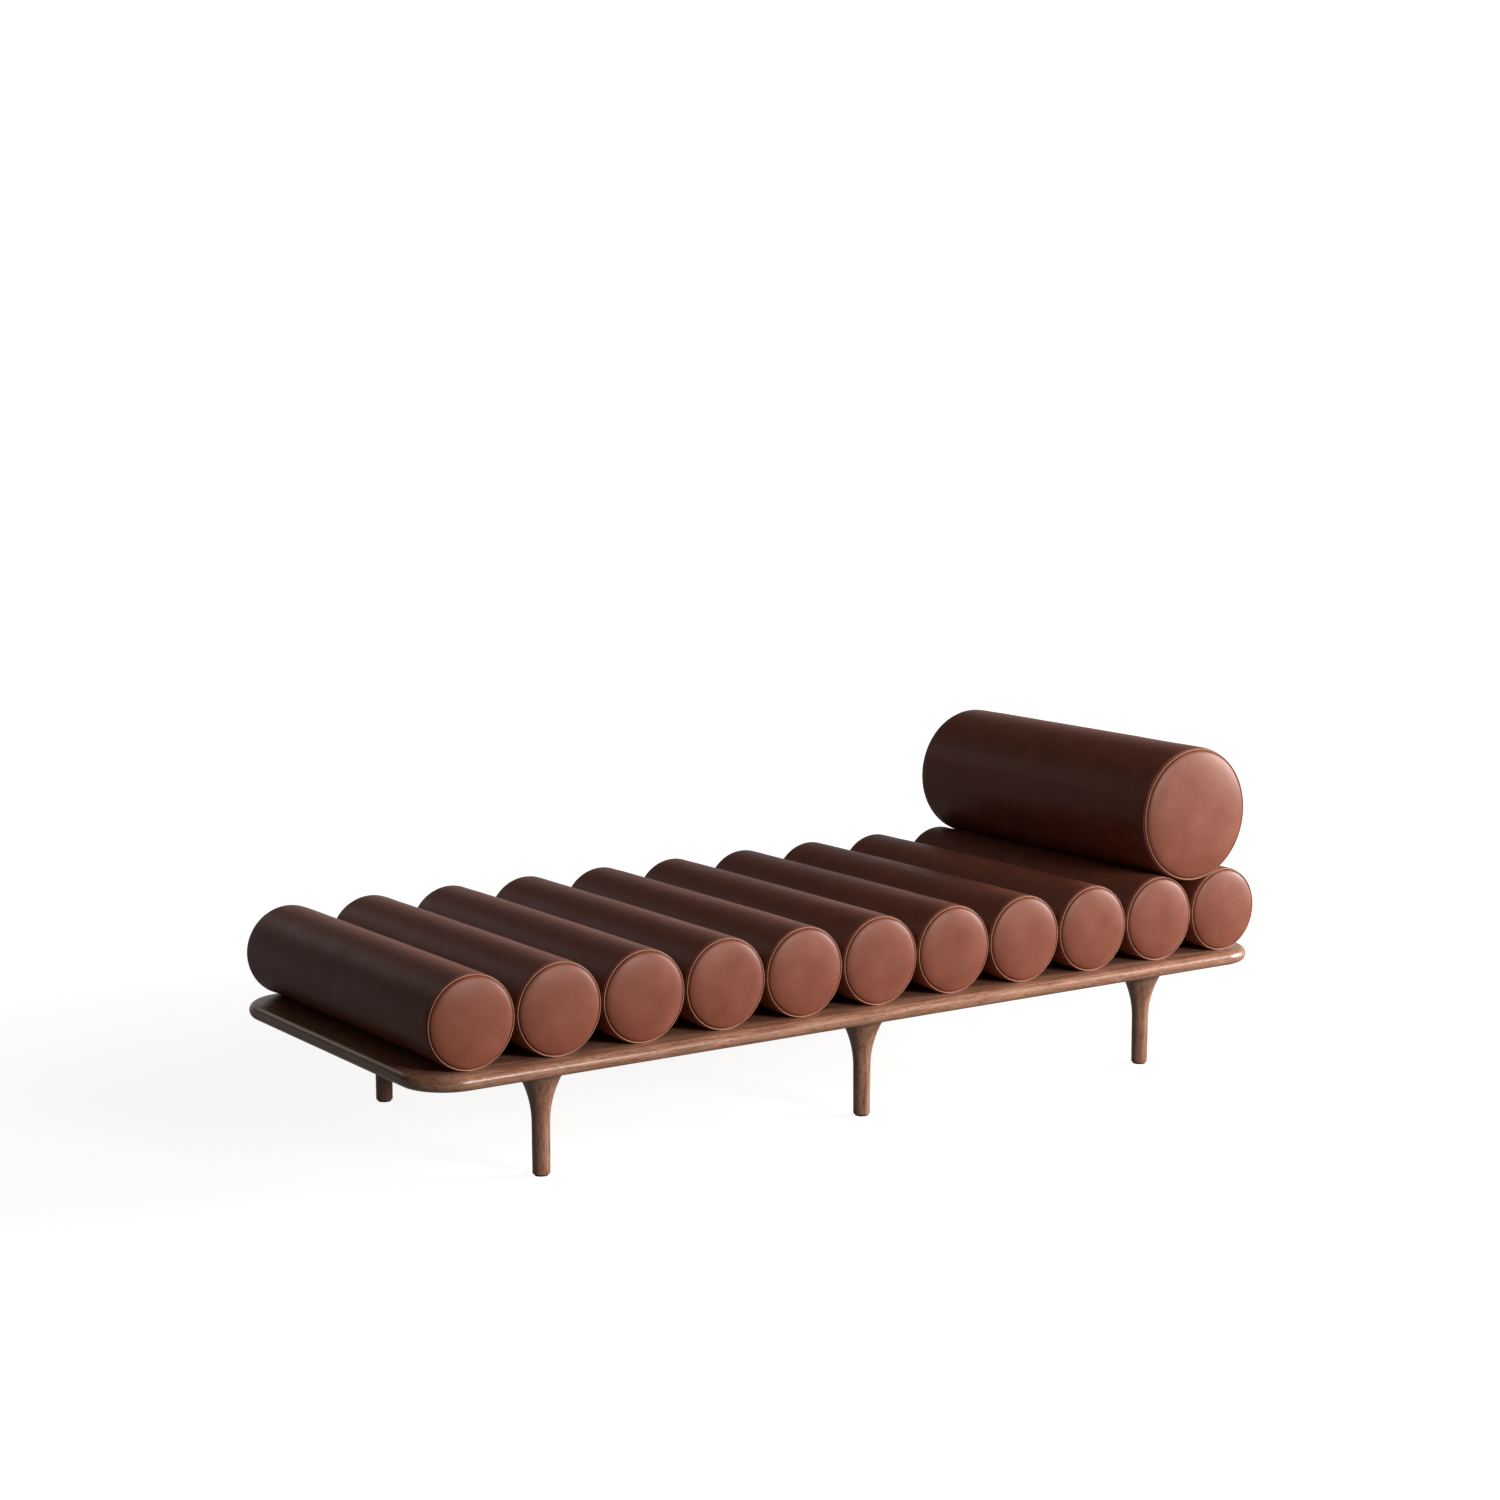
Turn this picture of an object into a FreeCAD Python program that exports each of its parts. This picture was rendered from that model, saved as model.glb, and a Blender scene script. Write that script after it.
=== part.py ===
"""Backless divan: eleven leather rolls lie side by side across a walnut platform on six turned legs,
and a thicker loose leather bolster lies in the valley between the last two rolls as a headrest.

Frame: origin on the floor under the middle of the platform, +X along the platform towards the bolster,
+Y to the back, +Z up. All lengths are in millimetres.
"""

import FreeCAD, Part
import math
import os
import Sketcher

os.makedirs("parts", exist_ok=True)
doc = FreeCAD.newDocument("divan")
sheet = doc.addObject("Spreadsheet::Sheet", "sizes")

# Driving dimensions: name, value, what it is
DIMENSIONS = [
    ("platform_length", 2004.0, "platform, end to end"),
    ("platform_depth", 797.0, "platform, front to back"),
    ("platform_thick", 28.6, "platform thickness"),
    ("corner_radius", 95.0, "corner of the platform seen from above"),
    ("lipping_width", 45.0, "solid edge round the core"),
    ("tongue_depth", 8.0, "tongue that stands out of the core"),
    ("tongue_thick", 8.0, "tongue thickness"),
    ("glue_relief", 0.5, "free space behind a glued tongue or tenon"),
    ("leg_length", 196.4, "leg under the platform, without its glide"),
    ("shaft_radius", 17.0, "slim part of the leg"),
    ("flare_rise", 101.4, "height of the flare under the platform"),
    ("flare_radius", 190.0, "radius of the flare's curve"),
    ("leg_count", 3, "legs in a row"),
    ("leg_inset_side", 277.5, "end of the platform to the outer leg axes"),
    ("leg_inset_front", 79.5, "front edge to front leg axis"),
    ("leg_inset_back", 96.0, "back edge to back leg axis"),
    ("tenon_radius", 13.0, "round tenon on top of the leg"),
    ("tenon_length", 18.0, "how far the tenon enters the core"),
    ("glide_radius", 13.0, "glide under the foot"),
    ("glide_thick", 3.0, "glide thickness"),
    ("roll_count", 11, "rolls side by side"),
    ("roll_gap", 2.0, "between one roll and the next"),
    ("roll_press", 1.8, "how much each roll is pressed flat where it rests"),
    ("room_left", 23.7, "left end of the platform to the first roll"),
    ("room_right", 2.3, "right end of the platform to the last roll"),
    ("roll_front", 34.2, "front edge of the platform to the rolls' front seams"),
    ("roll_back", 12.8, "back edge of the platform to the rolls' back seams"),
    ("bolster_radius", 140.5, "bolster body"),
    ("bolster_forward", 6.0, "how far the bolster lies ahead of the rolls' seams"),
    ("rest_gap", 0.4, "air between the loose bolster and the rolls"),
    ("leather_thick", 1.6, "cover leather"),
    ("cap_rise", 6.0, "how far the stuffed end cap stands out past its seam"),
    ("cap_edge", 7.0, "width of the cap's rounded edge"),
    ("strip_width", 25.0, "hook and loop strips"),
    ("strip_inset", 55.0, "end of a strip to the seam of its roll"),
    ("strip_thick", 1.5, "one strip"),
    ("strip_gap", 0.5, "each side of a strip in its groove"),
]


class Size:
    """A length that is known as a number and as a formula on the sheet."""

    def __init__(self, number, formula):
        self.number = number
        self.formula = formula

    def joined(self, sign, other, number):
        text = other.formula if isinstance(other, Size) else repr(other)
        return Size(number, f"({self.formula} {sign} {text})")

    def __add__(self, other):
        return self.joined("+", other, self.number + plain(other))

    def __sub__(self, other):
        return self.joined("-", other, self.number - plain(other))

    def __mul__(self, other):
        return self.joined("*", other, self.number * plain(other))

    def __truediv__(self, other):
        return self.joined("/", other, self.number / plain(other))

    def __neg__(self):
        return Size(-self.number, f"(0 - {self.formula})")


def plain(length):
    return length.number if isinstance(length, Size) else length


def root(square):
    return Size(math.sqrt(square.number), f"sqrt({square.formula})")


def fill_sheet():
    """Write each driving dimension once and hand back the named sizes."""
    sizes = {}
    for row, (name, value, note) in enumerate(DIMENSIONS, start=1):
        sheet.set(f"A{row}", name)
        sheet.set(f"B{row}", str(value))
        sheet.set(f"C{row}", note)
        sheet.setAlias(f"B{row}", name)
        sizes[name] = Size(value, f"sizes.{name}")
    doc.recompute()
    return sizes


# Ways to bind, draw and repeat
def bind(item, prop, length):
    item.setExpression(prop, length.formula)


def place(item, x, y, z, turn=0.0):
    """Put an object at a bound place, turned by whole degrees about the vertical."""
    turned = FreeCAD.Rotation(FreeCAD.Vector(0, 0, 1), turn)
    item.Placement = FreeCAD.Placement(FreeCAD.Vector(plain(x), plain(y), plain(z)), turned)
    for axis, length in zip("xyz", (x, y, z)):
        if isinstance(length, Size):
            bind(item, f"Placement.Base.{axis}", length)


def new_body(label):
    body = doc.addObject("PartDesign::Body", "Body")
    body.Label = label
    return body


def new_sketch(body, plane):
    sketch = body.newObject("Sketcher::SketchObject", "Sketch")
    planes = [part for part in body.Origin.OriginFeatures if part.Role == plane]
    sketch.AttachmentSupport = [(planes[0], "")]
    sketch.MapMode = "FlatFace"
    return sketch


def arc_centre(start, end, across):
    """Centre of the arc through two points, where its coordinate across the sketch is known."""
    middle = (start + end) / 2
    along = end - start
    up = middle.y + (middle.x - across) / along.y * along.x
    return FreeCAD.Vector(across, up, 0)


def outline(sketch, corners, arcs=None):
    """Closed outline through bound corners. An arc has its stretch's number, its centre and its turn."""
    arcs = arcs or {}
    ends = [FreeCAD.Vector(plain(across), plain(up), 0) for across, up in corners]
    reversed_arcs = set()
    for number, start in enumerate(ends):
        end = ends[(number + 1) % len(ends)]
        if number not in arcs:
            sketch.addGeometry(Part.LineSegment(start, end), False)
            continue
        across, turn = arcs[number]
        centre = arc_centre(start, end, across.number)
        first, last = (start, end) if turn == "left" else (end, start)
        circle = Part.Circle(centre, FreeCAD.Vector(0, 0, 1), (start - centre).Length)
        sketch.addGeometry(Part.ArcOfCircle(circle, circle.parameter(first), circle.parameter(last)), False)
        if turn == "right":
            reversed_arcs.add(number)
    for number, (across, up) in enumerate(corners):
        before = (number - 1) % len(corners)
        begins = 2 if number in reversed_arcs else 1
        ends_at = 1 if before in reversed_arcs else 2
        sketch.addConstraint(Sketcher.Constraint("Coincident", before, ends_at, number, begins))
        hold(sketch, "DistanceX", number, begins, across)
        hold(sketch, "DistanceY", number, begins, up)
    for number, (across, turn) in arcs.items():
        hold(sketch, "DistanceX", number, 3, across)


def hold(sketch, kind, line, end, length):
    """Hold one coordinate of a corner: on its axis where it is nought, else at a bound distance."""
    if not isinstance(length, Size):
        axis = -2 if kind == "DistanceX" else -1
        sketch.addConstraint(Sketcher.Constraint("PointOnObject", line, end, axis))
        return
    named = sketch.addConstraint(Sketcher.Constraint(kind, -1, 1, line, end, length.number))
    sketch.setExpression(f"Constraints[{named}]", length.formula)


def rectangle(sketch, left, right, low, high):
    outline(sketch, [(left, low), (right, low), (right, high), (left, high)])


def disc(sketch, x, y, radius):
    centre = FreeCAD.Vector(x.number, y.number, 0)
    sketch.addGeometry(Part.Circle(centre, FreeCAD.Vector(0, 0, 1), radius.number), False)
    hold(sketch, "DistanceX", 0, 3, x)
    hold(sketch, "DistanceY", 0, 3, y)
    named = sketch.addConstraint(Sketcher.Constraint("Radius", 0, radius.number))
    sketch.setExpression(f"Constraints[{named}]", radius.formula)


def pad(body, sketch, length, both_ways=False):
    feature = body.newObject("PartDesign::Pad", "Pad")
    feature.Profile = sketch
    feature.Midplane = both_ways
    bind(feature, "Length", length)
    return feature


def spin(body, sketch, degrees=360.0):
    """Turn a sketch about its own upright axis."""
    feature = body.newObject("PartDesign::Revolution", "Revolution")
    feature.Profile = sketch
    feature.ReferenceAxis = (sketch, ["V_Axis"])
    feature.Angle = degrees
    return feature


def pocket(body, sketch, depth):
    feature = body.newObject("PartDesign::Pocket", "Pocket")
    feature.Profile = sketch
    bind(feature, "Length", depth)
    return feature


def round_uprights(body, feature, radius):
    """Round the four upright edges of a padded rectangle."""
    doc.recompute()
    edges = enumerate(feature.Shape.Edges, start=1)
    names = [f"Edge{number}" for number, edge in edges if edge.tangentAt(edge.FirstParameter).z != 0]
    fillet = body.newObject("PartDesign::Fillet", "Fillet")
    fillet.Base = (feature, names)
    bind(fillet, "Radius", radius)
    return fillet


def repeat(body, feature, direction, length, count):
    pattern = body.newObject("PartDesign::LinearPattern", "Pattern")
    pattern.Originals = [feature]
    pattern.Direction = (feature.Profile[0], [direction])
    bind(pattern, "Length", length)
    bind(pattern, "Occurrences", count)
    body.Tip = pattern
    return pattern


def group(label, items):
    compound = doc.addObject("Part::Compound", "Group")
    compound.Label = label
    compound.Links = items
    return compound


size = fill_sheet()
roll_count = int(size["roll_count"].number)
leg_count = int(size["leg_count"].number)

# Levels and places that follow from the driving dimensions
half_length = size["platform_length"] / 2
half_depth = size["platform_depth"] / 2
half_thick = size["platform_thick"] / 2
straight_x = half_length - size["corner_radius"]
straight_y = half_depth - size["corner_radius"]
underside = size["glide_thick"] + size["leg_length"]
platform_middle = underside + half_thick
platform_top = underside + size["platform_thick"]

# The rolls share out the platform's length, so their girth follows from it
roll_space = size["platform_length"] - size["room_left"] - size["room_right"] + size["roll_gap"]
roll_pitch = roll_space / size["roll_count"]
roll_radius = (roll_pitch - size["roll_gap"]) / 2
roll_seat = roll_radius - size["roll_press"]
roll_axis = platform_top + roll_seat
first_roll = size["room_left"] + roll_radius - half_length
roll_length = size["platform_depth"] - size["roll_front"] - size["roll_back"]
roll_seam = size["roll_front"] - half_depth
strip_length = roll_length - size["strip_inset"] * 2
strip_front = roll_seam + size["strip_inset"]

leg_rows = {
    "front": size["leg_inset_front"] - half_depth,
    "back": half_depth - size["leg_inset_back"],
}
first_leg = size["leg_inset_side"] - half_length
leg_run = -first_leg * 2
leg_columns = [first_leg + leg_run / (size["leg_count"] - 1) * number for number in range(leg_count)]


def roll_x(number):
    return first_roll + roll_pitch * number


# Platform core: veneered board with a tongue along each side, leg mortises and a groove under each roll
def platform_core():
    body = new_body("platform_core")
    place(body, 0, 0, platform_middle)
    inner_x = half_length - size["lipping_width"]
    inner_y = half_depth - size["lipping_width"]
    inner_corner = size["corner_radius"] - size["lipping_width"]
    panel = new_sketch(body, "XY_Plane")
    rectangle(panel, -inner_x, inner_x, -inner_y, inner_y)
    round_uprights(body, pad(body, panel, size["platform_thick"], both_ways=True), inner_corner)

    tongue_x = inner_x + size["tongue_depth"]
    tongue_y = inner_y + size["tongue_depth"]
    for x, y in ((tongue_x, straight_y), (straight_x, tongue_y)):
        tongue = new_sketch(body, "XY_Plane")
        rectangle(tongue, -x, x, -y, y)
        pad(body, tongue, size["tongue_thick"], both_ways=True)

    groove = new_sketch(body, "XY_Plane")
    bind(groove, "AttachmentOffset.Base.z", half_thick)
    half_groove = size["strip_width"] / 2 + size["strip_gap"]
    groove_front = strip_front - size["strip_gap"]
    groove_back = strip_front + strip_length + size["strip_gap"]
    rectangle(groove, first_roll - half_groove, first_roll + half_groove, groove_front, groove_back)
    groove_cut = pocket(body, groove, size["strip_thick"] * 2)
    repeat(body, groove_cut, "H_Axis", roll_pitch * (size["roll_count"] - 1), size["roll_count"])

    for row, y in leg_rows.items():
        mortise = new_sketch(body, "XY_Plane")
        bind(mortise, "AttachmentOffset.Base.z", -half_thick)
        disc(mortise, first_leg, y, size["tenon_radius"])
        mortise_cut = pocket(body, mortise, size["tenon_length"] + size["glue_relief"])
        mortise_cut.Reversed = True
        repeat(body, mortise_cut, "H_Axis", leg_run, size["leg_count"])
    return body


# Solid walnut lipping: half-round nose outside, and a groove for the core's tongue along the sides
def lipping_section(body, nose_x, grooved):
    """Draw the section with its nose at nose_x, outwards along +X."""
    sketch = new_sketch(body, "XZ_Plane")
    shoulder = nose_x - half_thick
    inside = nose_x - size["lipping_width"]
    corners = [(shoulder, -half_thick), (shoulder, half_thick), (inside, half_thick)]
    if grooved:
        floor = inside + size["tongue_depth"] + size["glue_relief"]
        half_groove = size["tongue_thick"] / 2
        corners += [(inside, half_groove), (floor, half_groove), (floor, -half_groove), (inside, -half_groove)]
    corners.append((inside, -half_thick))
    outline(sketch, corners, arcs={0: (shoulder, "left")})
    return sketch


def lipping_rail(label, half_span, half_run, turn):
    """Straight lipping along one side."""
    body = new_body(label)
    pad(body, lipping_section(body, half_span, grooved=True), half_run * 2, both_ways=True)
    place(body, 0, 0, platform_middle, turn)
    return body


def lipping_corner(number, x, y, turn):
    """Quarter-round block between two rails."""
    body = new_body(f"lipping_corner_{number}")
    spin(body, lipping_section(body, size["corner_radius"], grooved=False), 90.0)
    place(body, x, y, platform_middle, turn)
    return body


def lipping_corners():
    blocks = [
        lipping_corner(1, straight_x, straight_y, 0.0),
        lipping_corner(2, -straight_x, straight_y, 90.0),
        lipping_corner(3, -straight_x, -straight_y, 180.0),
        lipping_corner(4, straight_x, -straight_y, 270.0),
    ]
    return group("lipping_corners", blocks)


# Turned walnut leg: slim shaft, wide flare under the platform, round tenon on top
def leg(label, x, y):
    body = new_body(label)
    profile = new_sketch(body, "XZ_Plane")
    rise = size["flare_rise"]
    flare_start = size["leg_length"] - rise
    flare_depth = size["flare_radius"] - root(size["flare_radius"] * size["flare_radius"] - rise * rise)
    tenon_top = size["leg_length"] + size["tenon_length"]
    corners = [
        (0, 0),
        (size["shaft_radius"], 0),
        (size["shaft_radius"], flare_start),
        (size["shaft_radius"] + flare_depth, size["leg_length"]),
        (size["tenon_radius"], size["leg_length"]),
        (size["tenon_radius"], tenon_top),
        (0, tenon_top),
    ]
    outline(profile, corners, arcs={2: (size["shaft_radius"] + size["flare_radius"], "right")})
    spin(body, profile)
    place(body, x, y, size["glide_thick"])
    return body


def leg_row(row):
    legs = [leg(f"leg_{row}_{number}", x, leg_rows[row]) for number, x in enumerate(leg_columns, start=1)]
    return group(f"{row}_legs", legs)


# Nylon glides under the feet
def foot_glides():
    glides = []
    for y in leg_rows.values():
        for x in leg_columns:
            glide = doc.addObject("Part::Cylinder", "Glide")
            bind(glide, "Radius", size["glide_radius"])
            bind(glide, "Height", size["glide_thick"])
            place(glide, x, y, 0)
            glides.append(glide)
    return group("foot_glides", glides)


# Hook strips glued into the grooves and loop strips sewn under the covers hold the rolls down
def strips(label, level):
    boxes = []
    for number in range(roll_count):
        strip = doc.addObject("Part::Box", "Strip")
        bind(strip, "Length", size["strip_width"])
        bind(strip, "Width", strip_length)
        bind(strip, "Height", size["strip_thick"])
        place(strip, roll_x(number) - size["strip_width"] / 2, strip_front, level)
        boxes.append(strip)
    return group(label, boxes)


# Upholstered rolls: a straight cylinder with a stuffed cap at each end
def padded_roll(label, radius, x, y, z):
    """Round body along Y from seam to seam, with an end cap that stands out past each seam."""
    body = new_body(label)
    profile = new_sketch(body, "XY_Plane")
    flat = radius - size["cap_edge"]
    corners = [
        (0, -size["cap_rise"]),
        (flat, -size["cap_rise"]),
        (radius, 0),
        (radius, roll_length),
        (flat, roll_length + size["cap_rise"]),
        (0, roll_length + size["cap_rise"]),
    ]
    outline(profile, corners)
    spin(body, profile)
    place(body, x, y, z)
    return body


def roll(number):
    """One roll: leather sleeve, stuffed end caps and foam filling in one solid, flat underneath."""
    body = padded_roll(f"roll_{number + 1:02d}", roll_radius, roll_x(number), roll_seam, roll_axis)
    below = new_sketch(body, "XZ_Plane")
    rectangle(below, -roll_radius, roll_radius, -roll_radius, -roll_seat)
    flat = pocket(body, below, (roll_length + size["cap_rise"]) * 2)
    flat.Midplane = True
    return body


# Loose bolster in the valley between the last two rolls: a leather cover round a plain foam core
def bolster():
    radius = size["bolster_radius"]
    half_pitch = roll_pitch / 2
    reach = roll_radius + radius + size["rest_gap"]
    axis = roll_axis + root(reach * reach - half_pitch * half_pitch)
    spot = (roll_x(roll_count - 1) - half_pitch, roll_seam - size["bolster_forward"], axis)
    outside = padded_roll("bolster_outside", radius, *spot)

    foam = new_body("bolster_foam")
    profile = new_sketch(foam, "XY_Plane")
    skin = size["leather_thick"]
    outline(profile, [(0, skin), (radius - skin, skin), (radius - skin, roll_length - skin), (0, roll_length - skin)])
    spin(foam, profile)
    place(foam, *spot)

    cover = doc.addObject("Part::Cut", "Cover")
    cover.Label = "bolster_cover"
    cover.Base = outside
    cover.Tool = foam
    return [cover, foam]


# Build every sub-part
parts = [
    platform_core(),
    lipping_rail("lipping_right", half_length, straight_y, 0.0),
    lipping_rail("lipping_back", half_depth, straight_x, 90.0),
    lipping_rail("lipping_left", half_length, straight_y, 180.0),
    lipping_rail("lipping_front", half_depth, straight_x, 270.0),
    lipping_corners(),
    leg_row("front"),
    leg_row("back"),
    foot_glides(),
    strips("hook_strips", platform_top - size["strip_thick"] * 2),
    strips("loop_strips", platform_top - size["strip_thick"]),
]
parts += [roll(number) for number in range(roll_count)]
parts += bolster()
doc.recompute()

# Check the whole document before anything is written
for item in doc.Objects:
    faults = {"Invalid", "Error"} & set(item.State)
    if faults:
        raise RuntimeError(f"{item.Label} ({item.TypeId}) is {faults}")
for item in parts:
    if item.Shape.isNull() or not item.Shape.isValid() or not item.Shape.Solids:
        raise RuntimeError(f"{item.Label} has no valid solid")
for item in parts:
    item.Shape.exportStep(f"parts/{item.Label}.step")
    print(item.Label, len(item.Shape.Solids), "solids", round(item.Shape.Volume / 1000), "cm3")
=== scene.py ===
"""Low backless daybed: leather rolls across a walnut platform on turned legs, with a loose bolster.

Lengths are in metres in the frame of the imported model: +X along the platform, +Y to the back, +Z up.
"""

import math

import bmesh
import bpy
from mathutils import Matrix, Vector, noise


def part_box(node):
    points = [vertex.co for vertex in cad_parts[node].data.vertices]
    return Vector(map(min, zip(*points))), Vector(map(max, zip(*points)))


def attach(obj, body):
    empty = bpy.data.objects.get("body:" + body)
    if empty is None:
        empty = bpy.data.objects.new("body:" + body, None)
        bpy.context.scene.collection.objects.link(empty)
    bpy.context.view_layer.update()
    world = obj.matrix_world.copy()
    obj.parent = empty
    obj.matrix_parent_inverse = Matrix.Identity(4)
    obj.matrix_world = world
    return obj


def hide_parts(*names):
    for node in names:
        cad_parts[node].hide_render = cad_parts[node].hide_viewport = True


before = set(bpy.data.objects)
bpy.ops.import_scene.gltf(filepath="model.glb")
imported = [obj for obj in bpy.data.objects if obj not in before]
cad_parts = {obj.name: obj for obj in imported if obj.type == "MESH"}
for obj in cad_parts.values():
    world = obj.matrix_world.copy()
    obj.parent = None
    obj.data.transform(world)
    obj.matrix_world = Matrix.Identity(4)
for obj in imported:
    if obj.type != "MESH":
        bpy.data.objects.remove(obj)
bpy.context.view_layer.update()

MM = 0.001


# Turned walnut legs
# Six legs turned from solid black walnut: a slim straight shaft that sweeps out into a wide flare where
# it meets the platform. The foot's edge is eased so that it doesn't splinter. Satin clear lacquer.
def linear(hex_colour):
    """An sRGB hex colour as the linear values that shaders take."""
    channels = [int(hex_colour[i : i + 2], 16) / 255 for i in (1, 3, 5)]
    return (*(c / 12.92 if c <= 0.04045 else ((c + 0.055) / 1.055) ** 2.4 for c in channels), 1.0)


def add_node(tree, kind, settings=None, links=None):
    """Add a shader node, set its sockets and properties, and link its inputs by name or number."""
    node = tree.nodes.new(kind)
    for name, value in (settings or {}).items():
        if name in node.inputs:
            node.inputs[name].default_value = value
        else:
            setattr(node, name, value)
    for name, source in (links or {}).items():
        tree.links.new(source, node.inputs[name])
    return node


def new_material(name):
    material = bpy.data.materials.new(name)
    material.use_nodes = True
    tree = material.node_tree
    tree.nodes.clear()
    return material, tree


def finish_material(tree, shader):
    output = add_node(tree, "ShaderNodeOutputMaterial")
    tree.links.new(shader.outputs[0], output.inputs["Surface"])


def blend_colours(tree, factor, stops):
    """A colour ramp through (place, hex colour) stops, driven by factor."""
    ramp = add_node(tree, "ShaderNodeValToRGB", links={"Fac": factor})
    elements = ramp.color_ramp.elements
    while len(elements) < len(stops):
        elements.new(0.5)
    for element, (place, colour) in zip(elements, stops):
        element.position = place
        element.color = linear(colour) if isinstance(colour, str) else (colour, colour, colour, 1.0)
    return ramp.outputs["Color"]


def new_piece(name, bm, material, body, sharp_above=40.0):
    """Turn a bmesh into a finished piece at the origin that rides on a body of the frame."""
    bmesh.ops.recalc_face_normals(bm, faces=bm.faces)
    mesh = bpy.data.meshes.new(name)
    bm.to_mesh(mesh)
    bm.free()
    mesh.shade_smooth()
    mesh.set_sharp_from_angle(angle=math.radians(sharp_above))
    mesh.materials.append(material)
    piece = bpy.data.objects.new(name, mesh)
    bpy.context.scene.collection.objects.link(piece)
    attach(piece, body)
    return piece


WALNUT_FIGURE = 7 * MM
WALNUT_PORE = 1.6 * MM


def walnut(name, stretch):
    """Black walnut, sawn and planed, under satin lacquer: brown heartwood figure and short dark pores.

    stretch holds how much longer the figure runs along each axis than across the grain.
    """
    material, tree = new_material(name)
    place = add_node(tree, "ShaderNodeTexCoord").outputs["Object"]
    figure_scale = Vector([1 / (WALNUT_FIGURE * s) for s in stretch])
    pore_scale = Vector([1 / (WALNUT_PORE * (1 + (s - 1) * 0.6)) for s in stretch])
    figure_place = add_node(tree, "ShaderNodeMapping", {"Scale": figure_scale}, {"Vector": place})
    pore_place = add_node(tree, "ShaderNodeMapping", {"Scale": pore_scale}, {"Vector": place})
    figure = add_node(
        tree,
        "ShaderNodeTexNoise",
        {"Scale": 1.0, "Detail": 4.0, "Roughness": 0.6, "Distortion": 0.6},
        {"Vector": figure_place.outputs[0]},
    )
    pores = add_node(
        tree,
        "ShaderNodeTexNoise",
        {"Scale": 1.0, "Detail": 2.0, "Roughness": 0.5},
        {"Vector": pore_place.outputs[0]},
    )
    wood = blend_colours(
        tree,
        figure.outputs["Fac"],
        [(0.30, "#8e614c"), (0.48, "#b07f65"), (0.62, "#c7977c"), (0.75, "#a0725a")],
    )
    pore_mask = blend_colours(tree, pores.outputs["Fac"], [(0.38, 0.55), (0.47, 1.0)])
    colour = add_node(
        tree,
        "ShaderNodeMix",
        {"data_type": "RGBA", "blend_type": "MULTIPLY", "Factor": 1.0},
        {6: wood, 7: pore_mask},
    )
    bump = add_node(tree, "ShaderNodeBump", {"Strength": 0.25, "Distance": 0.2 * MM}, {"Height": pore_mask})
    shader = add_node(
        tree,
        "ShaderNodeBsdfPrincipled",
        {"Roughness": 0.29, "IOR": 1.5, "Specular IOR Level": 0.85},
        {"Base Color": colour.outputs[2], "Normal": bump.outputs[0]},
    )
    finish_material(tree, shader)
    return material


walnut_upright = walnut("Walnut_satin_lacquer_upright", (1, 1, 14))

FOOT_EDGE = 2.0 * MM
FOOT_RADIUS = 16.5 * MM
SHAFT_RADIUS = 17.0 * MM
FLARE_START = 98 * MM
FLARE_RADIUS = 190 * MM
EDGE_STEPS = 5
FLARE_STEPS = 18
LEG_STEPS = 64


def leg_outline(low, high):
    """Half section of the leg from the foot's centre to the top, as (radius, height) pairs."""
    points = [(0.0, low), (FOOT_RADIUS - FOOT_EDGE, low)]
    for step in range(1, EDGE_STEPS + 1):
        turn = math.radians(90) * step / EDGE_STEPS
        radius = FOOT_RADIUS - FOOT_EDGE * (1 - math.sin(turn))
        points.append((radius, low + FOOT_EDGE * (1 - math.cos(turn))))
    points.append((SHAFT_RADIUS, FLARE_START))
    flare_turn = math.asin((high - FLARE_START) / FLARE_RADIUS)
    for step in range(1, FLARE_STEPS + 1):
        turn = flare_turn * step / FLARE_STEPS
        radius = SHAFT_RADIUS + FLARE_RADIUS * (1 - math.cos(turn))
        points.append((radius, FLARE_START + FLARE_RADIUS * math.sin(turn)))
    points.append((0.0, high))
    return points


def spun(bm, outline, centre, axis, steps):
    """Spin an open outline of points about an axis into a closed skin."""
    verts = [bm.verts.new(point) for point in outline]
    edges = [bm.edges.new(pair) for pair in zip(verts, verts[1:])]
    bmesh.ops.spin(
        bm,
        geom=verts + edges,
        cent=centre,
        axis=axis,
        angle=math.tau,
        steps=steps,
        use_merge=True,
        use_duplicate=False,
    )
    bmesh.ops.remove_doubles(bm, verts=bm.verts, dist=0.01 * MM)


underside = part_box("platform_core")[0].z
foot_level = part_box("foot_glides")[1].z
for row in ("front", "back"):
    low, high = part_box(f"{row}_legs")
    reach = (high.y - low.y) / 2
    row_y = (low.y + high.y) / 2
    for number, x in enumerate((low.x + reach, (low.x + high.x) / 2, high.x - reach), start=1):
        bm = bmesh.new()
        outline = [(x + radius, row_y, height) for radius, height in leg_outline(foot_level, underside)]
        spun(bm, outline, (x, row_y, 0), (0, 0, 1), LEG_STEPS)
        leg = new_piece(f"leg_{row}_{number}", bm, walnut_upright, "divan", 60)
        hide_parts(f"{row}_legs")


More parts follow.
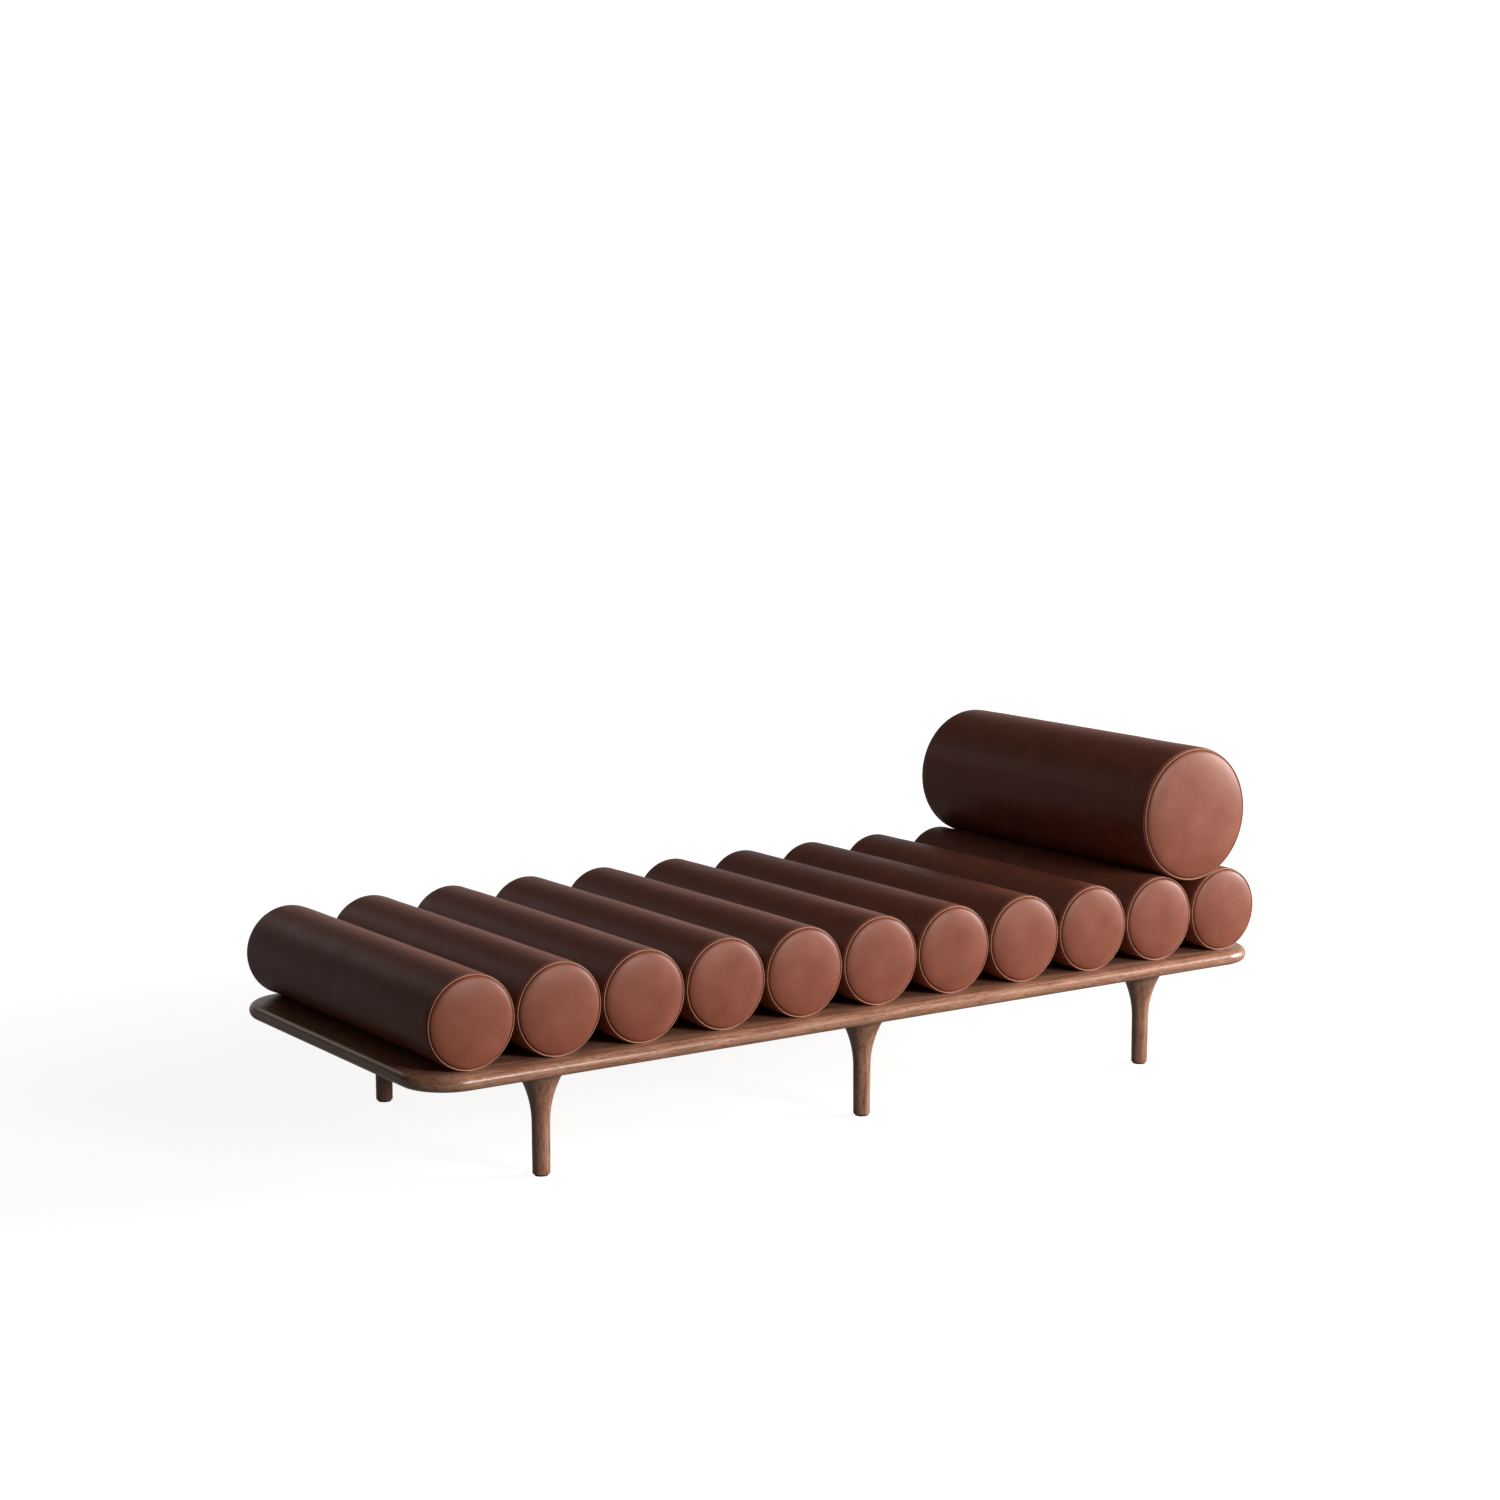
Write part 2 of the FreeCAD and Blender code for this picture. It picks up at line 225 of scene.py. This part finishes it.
# Glides
# A round slip of black nylon pinned under each foot, a little smaller than the foot, so that the end
# grain stays off the floor.
def nylon():
    """Injection-moulded nylon: near black, dull, with a faint pebble from the mould."""
    material, tree = new_material("Nylon_moulded_black")
    place = add_node(tree, "ShaderNodeTexCoord").outputs["Object"]
    pebble = add_node(tree, "ShaderNodeTexNoise", {"Scale": 1 / (0.8 * MM), "Detail": 1.0}, {"Vector": place})
    colour = blend_colours(tree, pebble.outputs["Fac"], [(0.3, "#151413"), (0.7, "#24211f")])
    shader = add_node(
        tree, "ShaderNodeBsdfPrincipled", {"Roughness": 0.6, "IOR": 1.53}, {"Base Color": colour}
    )
    finish_material(tree, shader)
    return material


def finish_node(name, material):
    """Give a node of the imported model, whose shape is right, its real finish."""
    mesh = bpy.data.objects[name].data
    mesh.materials.clear()
    mesh.materials.append(material)


finish_node("foot_glides", nylon())

# Platform
# A flat core board veneered in walnut, its figure running lengthwise, with a solid walnut lipping glued
# round it. The lipping's outer edge is shaped to a half-round nose, and its corners are quarter-round
# blocks with the grain at a slant.
walnut_lengthwise = walnut("Walnut_satin_lacquer_lengthwise", (14, 1, 1))
walnut_crosswise = walnut("Walnut_satin_lacquer_crosswise", (1, 14, 1))
finish_node("platform_core", walnut_lengthwise)

core_low, core_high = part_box("platform_core")
NOSE_RADIUS = (core_high.z - core_low.z) / 2
nose_level = (core_high.z + core_low.z) / 2
JOINT_EASE = 0.35 * MM
NOSE_STEPS = 24
CORNER_STEPS = 24


def rail_section(bm, inner, outer, along, outwards):
    """A flat face in the rail's own section: square inside, half-round outside, with eased arrises."""
    points = [(inner, -NOSE_RADIUS + JOINT_EASE), (inner + JOINT_EASE, -NOSE_RADIUS)]
    for step in range(NOSE_STEPS + 1):
        turn = math.radians(-90 + 180 * step / NOSE_STEPS)
        points.append((outer - NOSE_RADIUS + NOSE_RADIUS * math.cos(turn), NOSE_RADIUS * math.sin(turn)))
    points += [(inner + JOINT_EASE, NOSE_RADIUS), (inner, NOSE_RADIUS - JOINT_EASE)]
    places = [along + outwards * out + Vector((0, 0, nose_level + up)) for out, up in points]
    return bm.faces.new([bm.verts.new(place) for place in places])


def straight_rail(node, material):
    """Straight lipping, pulled along its side of the platform."""
    low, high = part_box(node)
    middle = (low + high) / 2
    lengthwise = high.x - low.x > high.y - low.y
    if lengthwise:
        run = Vector((1, 0, 0))
        outwards = Vector((0, math.copysign(1, middle.y), 0))
    else:
        run = Vector((0, 1, 0))
        outwards = Vector((math.copysign(1, middle.x), 0, 0))
    far = max(abs(low.dot(outwards)), abs(high.dot(outwards)))
    near = min(abs(low.dot(outwards)), abs(high.dot(outwards)))
    start, end = low.dot(run) + JOINT_EASE / 2, high.dot(run) - JOINT_EASE / 2
    bm = bmesh.new()
    face = rail_section(bm, near, far, run * start, outwards)
    grown = bmesh.ops.extrude_face_region(bm, geom=[face])
    moved = [item for item in grown["geom"] if isinstance(item, bmesh.types.BMVert)]
    bmesh.ops.translate(bm, verts=moved, vec=run * (end - start))
    piece = new_piece(node + "_rail", bm, material, "divan")
    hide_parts(node)
    return near, far


straight_rail("lipping_front", walnut_lengthwise)
straight_rail("lipping_back", walnut_lengthwise)
straight_rail("lipping_left", walnut_crosswise)
side_inner, side_outer = straight_rail("lipping_right", walnut_crosswise)

lipping_width = side_outer - side_inner
corner_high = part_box("lipping_corners")[1]
corner_radius = side_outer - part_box("lipping_front")[1].x
for number, (side_x, side_y) in enumerate(((1, 1), (-1, 1), (-1, -1), (1, -1)), start=1):
    centre = Vector((side_x * (corner_high.x - corner_radius), side_y * (corner_high.y - corner_radius), 0))
    bm = bmesh.new()
    first = Vector((side_x, 0, 0))
    face = rail_section(bm, corner_radius - lipping_width, corner_radius, centre, first)
    bmesh.ops.spin(
        bm,
        geom=[face, *face.edges, *face.verts],
        cent=centre,
        axis=(0, 0, 1),
        angle=math.radians(90) * side_x * side_y,
        steps=CORNER_STEPS,
        use_duplicate=False,
    )
    slant = walnut_lengthwise if number % 2 else walnut_crosswise
    corner = new_piece(f"lipping_corner_{number}", bm, slant, "divan")
    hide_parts("lipping_corners")


# Hook and loop strips
# Woven tapes: the hook tape is glued into a shallow groove of the platform, the loop tape is sewn under
# each roll. Together they keep the rolls from sliding. Little of them shows.
def woven_tape(name, colour_low, colour_high):
    """Nylon tape with a nap of hooks or loops: matt, dark and speckled."""
    material, tree = new_material(name)
    place = add_node(tree, "ShaderNodeTexCoord").outputs["Object"]
    nap = add_node(tree, "ShaderNodeTexVoronoi", {"Scale": 1 / (1.6 * MM)}, {"Vector": place})
    colour = blend_colours(tree, nap.outputs["Distance"], [(0.1, colour_high), (0.7, colour_low)])
    bump = add_node(
        tree,
        "ShaderNodeBump",
        {"Strength": 0.6, "Distance": 0.4 * MM, "invert": True},
        {"Height": nap.outputs["Distance"]},
    )
    shader = add_node(
        tree,
        "ShaderNodeBsdfPrincipled",
        {"Roughness": 0.9, "Sheen Weight": 0.3},
        {"Base Color": colour, "Normal": bump.outputs[0]},
    )
    finish_material(tree, shader)
    return material


finish_node("hook_strips", woven_tape("Hook_tape_nylon", "#0d0b0a", "#262220"))
finish_node("loop_strips", woven_tape("Loop_tape_nylon", "#100d0c", "#2c2623"))


# Rolls
# Each roll is a foam cylinder in a sewn cover of smooth brown leather, a sleeve with a stuffed round cap
# at each end, and lies flat where it rests. A thin piping of paler cut leather is caught in the seam
# between cap and sleeve, outside a narrow groove, with a row of stitches on the sleeve beside it.
LEATHER_GRAIN = 1.4 * MM
LEATHER_MOTTLE = 55 * MM


def smooth_leather():
    """Semi-aniline cowhide: a fine pebble grain and soft cloudy tone under a thin satin topcoat."""
    material, tree = new_material("Leather_semi_aniline_brown")
    place = add_node(tree, "ShaderNodeTexCoord").outputs["Object"]
    cloud = add_node(
        tree,
        "ShaderNodeTexNoise",
        {"Scale": 1 / LEATHER_MOTTLE, "Detail": 3.0, "Roughness": 0.55},
        {"Vector": place},
    )
    grain = add_node(
        tree, "ShaderNodeTexVoronoi", {"Scale": 1 / LEATHER_GRAIN, "Randomness": 1.0}, {"Vector": place}
    )
    tones = [(0.3, "#874d3b"), (0.55, "#8f5441"), (0.75, "#985c48")]
    colour = blend_colours(tree, cloud.outputs["Fac"], tones)
    gloss = blend_colours(tree, cloud.outputs["Fac"], [(0.3, 0.40), (0.7, 0.48)])
    bump = add_node(
        tree,
        "ShaderNodeBump",
        {"Strength": 0.12, "Distance": 0.15 * MM},
        {"Height": grain.outputs["Distance"]},
    )
    shader = add_node(
        tree,
        "ShaderNodeBsdfPrincipled",
        {"IOR": 1.5, "Specular IOR Level": 0.34},
        {"Base Color": colour, "Roughness": gloss, "Normal": bump.outputs[0]},
    )
    finish_material(tree, shader)
    return material


def cut_leather():
    """The pale cut edge of the piping leather, which the topcoat doesn't reach."""
    material, tree = new_material("Leather_piping_cut_edge")
    place = add_node(tree, "ShaderNodeTexCoord").outputs["Object"]
    fibre = add_node(tree, "ShaderNodeTexNoise", {"Scale": 1 / (2.5 * MM), "Detail": 2.0}, {"Vector": place})
    colour = blend_colours(tree, fibre.outputs["Fac"], [(0.3, "#b8896f"), (0.7, "#d3a88e")])
    shader = add_node(tree, "ShaderNodeBsdfPrincipled", {"Roughness": 0.55}, {"Base Color": colour})
    finish_material(tree, shader)
    return material


def sewing_thread():
    """Bonded polyester thread in a warm tan, with a twist that catches a little light."""
    material, tree = new_material("Thread_bonded_polyester_tan")
    place = add_node(tree, "ShaderNodeTexCoord").outputs["Object"]
    twist = add_node(tree, "ShaderNodeTexNoise", {"Scale": 1 / (0.6 * MM), "Detail": 1.0}, {"Vector": place})
    colour = blend_colours(tree, twist.outputs["Fac"], [(0.35, "#94644d"), (0.65, "#b98a6f")])
    shader = add_node(
        tree, "ShaderNodeBsdfPrincipled", {"Roughness": 0.5, "Sheen Weight": 0.2}, {"Base Color": colour}
    )
    finish_material(tree, shader)
    return material


leather = smooth_leather()
piping_leather = cut_leather()
thread = sewing_thread()

COVER_STEPS = 80
CAP_STEPS = 13
CAP_RISE = 6 * MM
ROLL_CROWN = 10 * MM
ROLL_SEAM_INSET = 3.8 * MM
GROOVE_WIDTH = 2.7 * MM
SEAM_DEPTH = 3.2 * MM
SEAM_PLAY = 0.2 * MM
HELD_FROM = 1.2 * MM
SLEEVE_START = 0.5 * MM
SHOULDER_STEP = 1.5 * MM
SHOULDER_RISE = 1.6 * MM
SHOULDER_FADE = 4.5 * MM
PIPING_RADIUS = 0.8 * MM
PIPING_OUT = 0.9 * MM
PIPING_DEPTH = 0.6 * MM
STITCH_PITCH = 4.4 * MM
STITCH_LENGTH = 3.0 * MM
STITCH_RADIUS = 0.45 * MM
STITCH_DEPTH = 5.0 * MM
STITCH_FREE = 3 * MM
SKIN_WAVE = 0.6 * MM
SKIN_ROOM = 0.4 * MM
CALM_EDGE = 14 * MM
SWELL_LIMIT = 1.1 * MM
STUFFING_FRAMES = 20


def cap_outline(seam, crown):
    """The stuffed cap from its middle to its edge and down the groove, as (radius, depth) pairs."""
    edge = seam - GROOVE_WIDTH
    points = []
    for step in range(CAP_STEPS):
        share = math.sin(math.radians(90) * step / CAP_STEPS)
        points.append((edge * share, -crown * (1 - share**2.6) ** 0.6))
    points += [(edge + 0.4 * MM, 1.4 * MM), (seam - SEAM_PLAY, SEAM_DEPTH)]
    return points


def sleeve_radius(radius, seam, depth):
    """Radius of the sleeve at a depth behind the cap's edge, where its shoulder rounds into the seam."""
    inset = radius - seam - SHOULDER_STEP
    return radius - inset * math.exp(-(depth - SEAM_DEPTH + SHOULDER_RISE) / SHOULDER_FADE)


def sleeve_outline(radius, seam, half_length):
    """The sleeve from its seam to the middle of the roll: a rounded shoulder, then straight."""
    points = [(seam + SHOULDER_STEP, SEAM_DEPTH - SHOULDER_RISE)]
    depth, gap = SEAM_DEPTH, 2.2 * MM
    while depth < half_length - 5 * MM:
        points.append((sleeve_radius(radius, seam, depth), depth))
        depth += gap
        gap = min(gap * 1.4, 9 * MM)
    points.append((radius, half_length))
    return points


def sewn_cover(name, body, slot, centre, radius, seam, half_length, crown, seat):
    """The unstuffed cover of one roll. A vertex group holds its two seams and where it rests."""
    cap = cap_outline(seam, crown)
    front = cap + sleeve_outline(radius - SLEEVE_START, seam, half_length)
    back = [(r, 2 * half_length - depth) for r, depth in reversed(front[:-1])]
    start = centre.y - half_length
    bm = bmesh.new()
    outline = [(centre.x + r, start + depth, centre.z) for r, depth in front + back]
    spun(bm, outline, centre, (0, 1, 0), COVER_STEPS)
    if seat is not None:
        for vert in bm.verts:
            vert.co.z = max(vert.co.z, seat)
    cover = new_piece(name, bm, leather, body, 75)
    held = cover.vertex_groups.new(name="seams")
    for vert in cover.data.vertices:
        inwards = half_length - abs(vert.co.y - centre.y)
        in_seam = HELD_FROM < inwards < SEAM_DEPTH + SEAM_PLAY
        on_platform = seat is not None and vert.co.z < seat + 0.1 * MM
        if in_seam or on_platform:
            held.add([vert.index], 1.0, "REPLACE")
    return cover


def stuffing_pressure(cover):
    """Cloth under the foam's pressure, slightly too large for its seams, so that it puckers there."""
    cloth = cover.modifiers.new("stuffing", "CLOTH")
    leather_hide = cloth.settings
    leather_hide.quality = 6
    leather_hide.mass = 0.4
    leather_hide.tension_stiffness = 40
    leather_hide.compression_stiffness = 40
    leather_hide.shear_stiffness = 20
    leather_hide.bending_stiffness = 6
    leather_hide.use_pressure = True
    leather_hide.uniform_pressure_force = 4
    leather_hide.shrink_min = -0.012
    leather_hide.vertex_group_mass = "seams"
    leather_hide.effector_weights.gravity = 0
    cloth.collision_settings.use_collision = False
    cloth.point_cache.frame_start = 1
    cloth.point_cache.frame_end = STUFFING_FRAMES


def unevenness(place, shift):
    """Soft waves in leather over foam, broad ones and weaker small ones, longer along the roll."""
    broad = noise.noise(Vector((place.x / 0.07, place.y / 0.12, place.z / 0.07)) + shift)
    small = noise.noise(Vector((place.x / 0.028, place.y / 0.05, place.z / 0.028)) + shift)
    return broad + 0.45 * small


def take_stuffed_shape(cover, centre, radius, half_length, seat, seed):
    """Keep the simulated shape within the roll's room, with the slight unevenness of leather over foam."""
    settled = cover.evaluated_get(bpy.context.evaluated_depsgraph_get())
    places = [vert.co.copy() for vert in settled.data.vertices]
    normals = [vert.normal.copy() for vert in settled.data.vertices]
    cover.modifiers.clear()
    cover.vertex_groups.clear()
    shift = Vector((seed * 3.7, seed * 1.9, seed * 5.3))
    for vert, place, normal in zip(cover.data.vertices, places, normals):
        move = place - vert.co
        if move.length > SWELL_LIMIT:
            place = vert.co + move * (SWELL_LIMIT / move.length)
        inwards = half_length - abs(place.y - centre.y)
        loose = min(1.0, max(abs(inwards) / CALM_EDGE, 0.1))
        place = place + normal * (unevenness(place, shift) * SKIN_WAVE * loose)
        across = Vector((place.x - centre.x, 0, place.z - centre.z))
        if across.length > radius + SKIN_ROOM:
            place = place - across * (1 - (radius + SKIN_ROOM) / across.length)
        if seat is not None:
            place.z = max(place.z, seat)
        vert.co = place
    soft = cover.modifiers.new("soft", "SUBSURF")
    soft.levels = soft.render_levels = 1


def seam_piping(name, body, slot, centre, seam, half_length, seat):
    """Both rings of piping, where cap and sleeve meet."""
    bm = bmesh.new()
    ring = seam + PIPING_OUT
    for side in (-1, 1):
        y = centre.y + side * (half_length - PIPING_DEPTH)
        added = bmesh.ops.create_circle(bm, segments=8, radius=PIPING_RADIUS)["verts"]
        bmesh.ops.translate(bm, verts=added, vec=(centre.x + ring, y, centre.z))
        edges = list({edge for vert in added for edge in vert.link_edges})
        bmesh.ops.spin(
            bm,
            geom=added + edges,
            cent=centre,
            axis=(0, 1, 0),
            angle=math.tau,
            steps=144,
            use_merge=True,
            use_duplicate=False,
        )
    bmesh.ops.remove_doubles(bm, verts=bm.verts, dist=0.01 * MM)
    if seat is not None:
        for vert in bm.verts:
            vert.co.z = max(vert.co.z, seat)
    return new_piece(name, bm, piping_leather, body, 80)


def seam_stitches(name, body, slot, centre, radius, seam, half_length, seat):
    """A row of stitches on the sleeve beside each seam."""
    bm = bmesh.new()
    lie = sleeve_radius(radius, seam, STITCH_DEPTH) + STITCH_RADIUS * 0.2
    count = round(math.tau * lie / STITCH_PITCH)
    for side in (-1, 1):
        y = centre.y + side * (half_length - STITCH_DEPTH)
        lay = Matrix.Translation((centre.x + lie, y, centre.z)) @ Matrix.Diagonal(
            (STITCH_RADIUS, STITCH_RADIUS, STITCH_LENGTH / 2, 1)
        )
        added = bmesh.ops.create_uvsphere(bm, u_segments=6, v_segments=4, radius=1, matrix=lay)["verts"]
        faces = list({face for vert in added for face in vert.link_faces})
        edges = list({edge for vert in added for edge in vert.link_edges})
        bmesh.ops.spin(
            bm,
            geom=added + edges + faces,
            cent=centre,
            axis=(0, 1, 0),
            angle=math.tau * (count - 1) / count,
            steps=count - 1,
            use_duplicate=True,
        )
    if seat is not None:
        hidden = [vert for vert in bm.verts if vert.co.z < seat + STITCH_FREE]
        bmesh.ops.delete(bm, geom=hidden, context="VERTS")
    return new_piece(name, bm, thread, body, 80)


roll_names = sorted(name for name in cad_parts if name.startswith("roll_"))
platform_top = core_high.z
stuffed = []
for number, node in enumerate(roll_names, start=1):
    low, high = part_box(node)
    radius = (high.x - low.x) / 2
    seam = radius - ROLL_SEAM_INSET
    centre = Vector(((low.x + high.x) / 2, (low.y + high.y) / 2, high.z - radius))
    half_length = (high.y - low.y) / 2 - CAP_RISE
    where = ("divan", "roll_leather", centre)
    cover = sewn_cover(f"{node}_cover", *where, radius, seam, half_length, ROLL_CROWN, platform_top)
    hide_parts(node)
    stuffed.append((cover, centre, radius, half_length, platform_top, number))
    seam_piping(f"{node}_piping", *where, seam, half_length, platform_top)
    seam_stitches(f"{node}_stitches", *where, radius, seam, half_length, platform_top)


# Bolster
# A thicker roll of the same make, round all the way, that lies loose in the valley between the last two
# rolls and serves as a headrest.
BOLSTER_CROWN = 14 * MM
BOLSTER_SEAM_INSET = 4.9 * MM
BOLSTER_SEED = 20

low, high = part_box("bolster_cover")
radius = (high.x - low.x) / 2
seam = radius - BOLSTER_SEAM_INSET
centre = (low + high) / 2
half_length = (high.y - low.y) / 2 - CAP_RISE
where = ("bolster", "bolster_leather", centre)
cover = sewn_cover("bolster_leather_cover", *where, radius, seam, half_length, BOLSTER_CROWN, None)
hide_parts("bolster_cover", "bolster_foam")
stuffed.append((cover, centre, radius, half_length, None, BOLSTER_SEED))
seam_piping("bolster_piping", *where, seam, half_length, None)
seam_stitches("bolster_stitches", *where, radius, seam, half_length, None)


# Stuffing
# The foam is cut a little larger than its cover and swells it tight, so the caps dome and the leather
# puckers along its seams. All the covers swell in one short simulation.
for cover, *_ in stuffed:
    stuffing_pressure(cover)
for moment in range(1, STUFFING_FRAMES + 1):
    bpy.context.scene.frame_set(moment)
for cover, *size in stuffed:
    take_stuffed_shape(cover, *size)


# Floor and backdrop
# A sheet of pale paper that runs under the divan and up behind it. The camera sees it white, with a soft
# shadow under the divan, but it throws little light back up, as in a studio with the lamps held off it.
FLOOR_REACH = 16.0
BACKDROP_AWAY = 7.5
BACKDROP_HEIGHT = 3.4
BEND_RADIUS = 0.8
BEND_STEPS = 8
VIEW_TURN = math.radians(-34.29)


def backdrop_paper():
    """Matt paper: white to the camera apart from a soft shadow, dimmer in reflections near the divan."""
    material, tree = new_material("Backdrop_paper_pale")
    path = add_node(tree, "ShaderNodeLightPath")
    place = add_node(tree, "ShaderNodeTexCoord").outputs["Object"]
    away = add_node(tree, "ShaderNodeVectorMath", {"operation": "LENGTH"}, {0: place})
    near_dimmer = add_node(
        tree,
        "ShaderNodeMapRange",
        {"From Min": 1.5, "From Max": 6.0, "To Min": 0.18, "To Max": 0.42},
        {"Value": away.outputs["Value"]},
    )
    mirrored = add_node(
        tree,
        "ShaderNodeMath",
        {"operation": "MULTIPLY"},
        {0: near_dimmer.outputs[0], 1: path.outputs["Is Glossy Ray"]},
    )
    seen = add_node(
        tree,
        "ShaderNodeMath",
        {"operation": "MAXIMUM"},
        {0: path.outputs["Is Camera Ray"], 1: mirrored.outputs[0]},
    )
    shown = add_node(
        tree,
        "ShaderNodeMath",
        {"operation": "MAXIMUM"},
        {0: seen.outputs[0], 1: path.outputs["Is Transmission Ray"]},
    )
    lift = add_node(
        tree,
        "ShaderNodeMapRange",
        {"From Min": 1.2, "From Max": 3.2, "To Min": 0.9, "To Max": 1.0, "interpolation_type": "SMOOTHSTEP"},
        {"Value": away.outputs["Value"]},
    )
    strength = add_node(
        tree, "ShaderNodeMath", {"operation": "MULTIPLY"}, {0: lift.outputs[0], 1: shown.outputs[0]}
    )
    colour = blend_colours(tree, shown.outputs[0], [(0.0, "#5c5855"), (1.0, "#a5a09c")])
    paper = add_node(tree, "ShaderNodeBsdfDiffuse", links={"Color": colour})
    white = add_node(tree, "ShaderNodeEmission", {"Color": (1, 1, 1, 1)}, {"Strength": strength.outputs[0]})
    both = add_node(tree, "ShaderNodeAddShader", links={0: paper.outputs[0], 1: white.outputs[0]})
    finish_material(tree, both)
    return material


bm = bmesh.new()
profile = [(-FLOOR_REACH, 0.0), (0.0, 0.0), (BACKDROP_AWAY - BEND_RADIUS, 0.0)]
for step in range(1, BEND_STEPS + 1):
    turn = math.radians(90) * step / BEND_STEPS
    away = BACKDROP_AWAY - BEND_RADIUS * (1 - math.sin(turn))
    profile.append((away, BEND_RADIUS * (1 - math.cos(turn))))
profile.append((BACKDROP_AWAY, BACKDROP_HEIGHT))
verts = [bm.verts.new((-FLOOR_REACH, along, height)) for along, height in profile]
edges = [bm.edges.new(pair) for pair in zip(verts, verts[1:])]
grown = bmesh.ops.extrude_edge_only(bm, edges=edges)["geom"]
moved = [item for item in grown if isinstance(item, bmesh.types.BMVert)]
bmesh.ops.translate(bm, verts=moved, vec=(2 * FLOOR_REACH, 0, 0))
bmesh.ops.rotate(bm, verts=bm.verts, cent=(0, 0, 0), matrix=Matrix.Rotation(VIEW_TURN, 3, "Z"))
sheet_mesh = bpy.data.meshes.new("backdrop")
bm.to_mesh(sheet_mesh)
bm.free()
sheet_mesh.shade_smooth()
sheet_mesh.materials.append(backdrop_paper())
backdrop = bpy.data.objects.new("backdrop", sheet_mesh)
bpy.context.scene.collection.objects.link(backdrop)


# Light
# A wide window to the right, low enough to skim over the tops of the rolls, a weaker soft light in front
# that reaches the caps, a faint one behind, and a dim room.
def softbox(name, place, aim, width, height, power, colour):
    """A rectangular lamp turned to face the point it is aimed at."""
    light = bpy.data.lights.new(name, "AREA")
    light.shape = "RECTANGLE"
    light.size = width
    light.size_y = height
    light.energy = power
    light.color = linear(colour)[:3]
    lamp = bpy.data.objects.new(name, light)
    lamp.location = place
    lamp.rotation_euler = (Vector(aim) - Vector(place)).to_track_quat("-Z", "Y").to_euler()
    bpy.context.scene.collection.objects.link(lamp)


softbox("window_right", (6.0, -2.5, 1.9), (0.0, 0.0, 0.35), 2.6, 2.2, 500, "#fff6f2")
softbox("front_soft", (1.5, -6.4, 2.3), (0.0, -0.3, 0.35), 2.2, 1.4, 245, "#fff5f0")
softbox("window_back", (-1.4, 3.8, 2.2), (0.6, 0.0, 0.5), 1.6, 1.0, 5, "#fff1ea")

world = bpy.data.worlds.new("dim_room")
bpy.context.scene.world = world
world.use_nodes = True
world.node_tree.nodes.clear()
room = add_node(world.node_tree, "ShaderNodeBackground", {"Color": linear("#fff0e6"), "Strength": 0.055})
output = add_node(world.node_tree, "ShaderNodeOutputWorld")
world.node_tree.links.new(room.outputs[0], output.inputs["Surface"])


# Camera
# It stands where the photograph was taken from, a long way off to the left and well above the rolls,
# and looks slightly down along the divan.
VIEW_DOWN = math.radians(8.22)

camera_data = bpy.data.cameras.new("camera")
camera_data.sensor_fit = "HORIZONTAL"
camera_data.sensor_width = 36.0
camera_data.lens = 69.38
camera_data.clip_end = 100
camera = bpy.data.objects.new("camera", camera_data)
camera.location = (-3.2851, -4.7484, 1.5189)
camera.rotation_euler = (math.radians(90) - VIEW_DOWN, 0, VIEW_TURN)
bpy.context.scene.collection.objects.link(camera)
bpy.context.scene.camera = camera
bpy.context.scene.view_settings.view_transform = "Standard"
